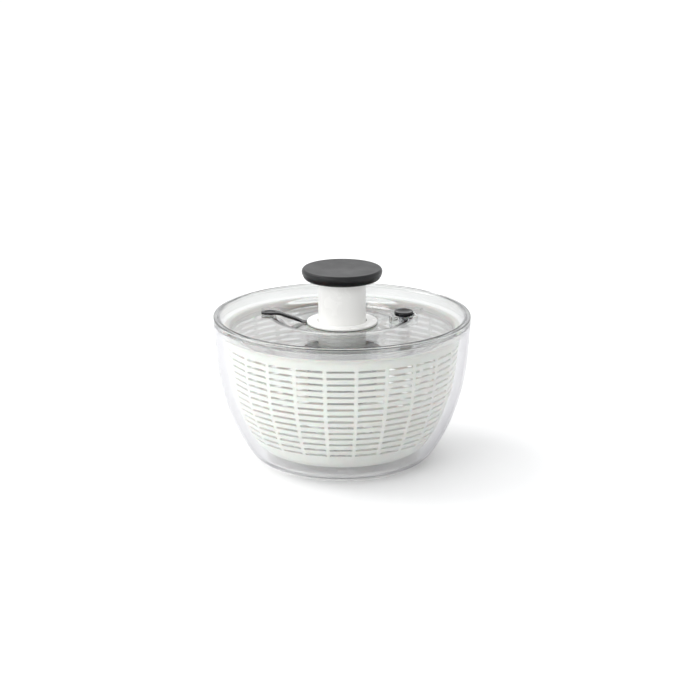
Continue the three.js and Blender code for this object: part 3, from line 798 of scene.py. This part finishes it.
def brake():
    top = high("brake_button")
    plate_low = low("brake_button")
    half_x, half_y = 10.0, 11.0
    cap_low = 154.0
    stem_r, foot_r = 2.6, 5.4
    cap = lathe("brake_cap", rounded([
        (0.001, top - 1.5, 0),
        (4.0, top - 1.3, 2),
        (8.2, top - 0.2, 1.2),
        (9.4, top, 0.8),
        (half_x, top - 1.2, 0.8),
        (9.6, cap_low + 0.2, 0.8),
        (8.4, cap_low, 0.3),
        (0.001, cap_low, 0),
    ], 5), 96)
    for vertex in cap.data.vertices:
        vertex.co.x += BRAKE_X * MM
        vertex.co.y *= half_y / half_x
    stem = lathe("brake_stem", rounded([
        (0, plate_low, 0),
        (foot_r, plate_low, 0.3),
        (foot_r, plate_low + 1.3, 0.3),
        (stem_r, plate_low + 1.3, 0.4),
        (stem_r, cap_low + 0.6, 0),
        (0, cap_low + 0.6, 0),
    ]), 48, (BRAKE_X, 0))
    combine(cap, [stem], "UNION")
    place(cap, "brake", "gloss_black", GLOSS_BLACK, "brake_button")


# ---- springs ----
def spring(name, node, body, radius, wire, turns, centre_x):
    """Smooth coil of wire, spanning the height of a CAD node's box."""
    z_low, z_high = low(node) + wire, high(node) - wire
    sides, per_turn = 10, 40
    steps = int(turns * per_turn)
    vertices = []
    for i in range(steps + 1):
        t = i / steps
        angle = 2 * math.pi * turns * t
        out = Vector((math.cos(angle), math.sin(angle), 0))
        middle = Vector((centre_x, 0, z_low + (z_high - z_low) * t)) + out * radius
        for k in range(sides):
            a = 2 * math.pi * k / sides
            vertices.append(tuple(middle + wire * (math.cos(a) * out + math.sin(a) * Vector((0, 0, 1)))))
    faces = []
    for i in range(steps):
        for k in range(sides):
            n = (k + 1) % sides
            faces.append((i * sides + k, i * sides + n, (i + 1) * sides + n, (i + 1) * sides + k))
    faces.append(tuple(range(sides)))
    faces.append(tuple(range(steps * sides, (steps + 1) * sides)))
    coil = new_object(name, vertices, faces)
    place(coil, body, "steel", STEEL, node)
    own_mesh(coil)


def springs():
    spring("return_coil", "return_spring", "lid",
           radius=18, wire=0.7, turns=7, centre_x=0)
    spring("clutch_coil", "clutch_spring", "spindle",
           radius=6.6, wire=0.4, turns=3, centre_x=0)
    spring("brake_coil", "brake_spring", "lid",
           radius=5.4, wire=0.4, turns=4, centre_x=BRAKE_X)


# ---- carried CAD nodes ----
CARRIED = {
    "pivot_bush": ACETAL,
    "spindle_bearing": ACETAL,
    "drive_nut": ACETAL,
    "drive_spindle": ACETAL,
    "clutch_dog": ACETAL,
    "drive_hub": WHITE,
    "knob_core": GLOSS_BLACK,
    "brake_pad": PAD_RUBBER,
    "spindle_washer": STEEL,
    "spindle_screw": STEEL,
    "knob_screw": STEEL,
    **{f"housing_screw_{k}": STEEL for k in (1, 2, 3)},
    **{f"hub_screw_{k}": STEEL for k in (1, 2, 3)},
}


def dress_cad_nodes():
    """Gives the CAD nodes that are shown as they are a detailed material."""
    for name, material in CARRIED.items():
        node = frame["nodes"][name]
        if not node.material_slots:
            node.data.materials.append(material)
        for slot in node.material_slots:
            slot.material = material


# ---- setting ----
CAMERA_DISTANCE = 2.4
CAMERA_HEIGHT_AT_AXIS = 0.090
CAMERA_ELEVATION = math.radians(16.65)
CAMERA_AIM = Vector((0.0082, 0.0, 0.1161))
CAMERA_LENS = 117.9


def camera():
    """Level-headed view from the front, a little above, as in a product picture."""
    data = bpy.data.cameras.new("camera")
    data.lens = CAMERA_LENS
    data.sensor_width = 36
    data.clip_end = 50
    eye = bpy.data.objects.new("camera", data)
    eye.location = (
        0,
        -CAMERA_DISTANCE * math.cos(CAMERA_ELEVATION),
        CAMERA_HEIGHT_AT_AXIS + CAMERA_DISTANCE * math.sin(CAMERA_ELEVATION),
    )
    eye.rotation_euler = (CAMERA_AIM - eye.location).to_track_quat("-Z", "Y").to_euler()
    bpy.context.scene.collection.objects.link(eye)
    bpy.context.scene.camera = eye


def area_light(name, location, aim, size, power):
    data = bpy.data.lights.new(name, "AREA")
    data.shape = "RECTANGLE"
    data.size, data.size_y = size
    data.energy = power
    lamp = bpy.data.objects.new(name, data)
    lamp.location = location
    lamp.rotation_euler = (Vector(aim) - Vector(location)).to_track_quat("-Z", "Y").to_euler()
    bpy.context.scene.collection.objects.link(lamp)


def world():
    """White studio with a darker panel behind the camera, which gives clear walls their depth."""
    studio = bpy.data.worlds.new("studio")
    bpy.context.scene.world = studio
    studio.use_nodes = True
    tree = studio.node_tree
    background = tree.nodes["Background"]
    direction = tree.nodes.new("ShaderNodeTexCoord")
    parts = tree.nodes.new("ShaderNodeSeparateXYZ")
    panel = tree.nodes.new("ShaderNodeMapRange")
    panel.interpolation_type = "SMOOTHSTEP"
    panel.inputs["From Min"].default_value = -1.0
    panel.inputs["From Max"].default_value = -0.35
    panel.inputs["To Min"].default_value = 1.0
    panel.inputs["To Max"].default_value = 1.1
    sides = tree.nodes.new("ShaderNodeMapRange")
    sides.inputs["From Min"].default_value = -1.0
    sides.inputs["From Max"].default_value = 1.0
    sides.inputs["To Min"].default_value = 1.12
    sides.inputs["To Max"].default_value = 0.86
    product = tree.nodes.new("ShaderNodeMath")
    product.operation = "MULTIPLY"
    tree.links.new(direction.outputs["Generated"], parts.inputs["Vector"])
    tree.links.new(parts.outputs["Y"], panel.inputs["Value"])
    tree.links.new(parts.outputs["X"], sides.inputs["Value"])
    tree.links.new(panel.outputs["Result"], product.inputs[0])
    tree.links.new(sides.outputs["Result"], product.inputs[1])
    tree.links.new(product.outputs["Value"], background.inputs["Strength"])
    background.inputs["Color"].default_value = (0.99, 0.995, 1.0, 1)


def floor():
    m = Nodes("pale_floor")
    drift = m.noise(1.5, 3.0)
    tone = m.blend_colours(drift, (0.955, 0.955, 0.955), (0.975, 0.975, 0.975))
    m.link(tone, m.shader.inputs["Base Color"])
    m.set(Roughness=0.7, Specular_IOR_Level=0.2)
    half = 9000
    ground = slab("floor", (-half, half), (-half, half), (-20.0, -0.05))
    ground.data.materials.append(m.material)


def setting():
    bpy.context.scene.view_settings.view_transform = "Standard"
    camera()
    world()
    floor()
    area_light("key", location=(-1.3, 0.5, 1.9), aim=(0, 0, 0.08), size=(1.2, 1.2), power=17)
    area_light("fill", location=(-1.5, -1.5, 0.9), aim=(0, 0, 0.12), size=(1.2, 1.2), power=11)


setting()
bowl()
foot()
basket()
lid()
collar()
housing()
cover()
plunger()
knob()
lock()
brake()
springs()
dress_cad_nodes()
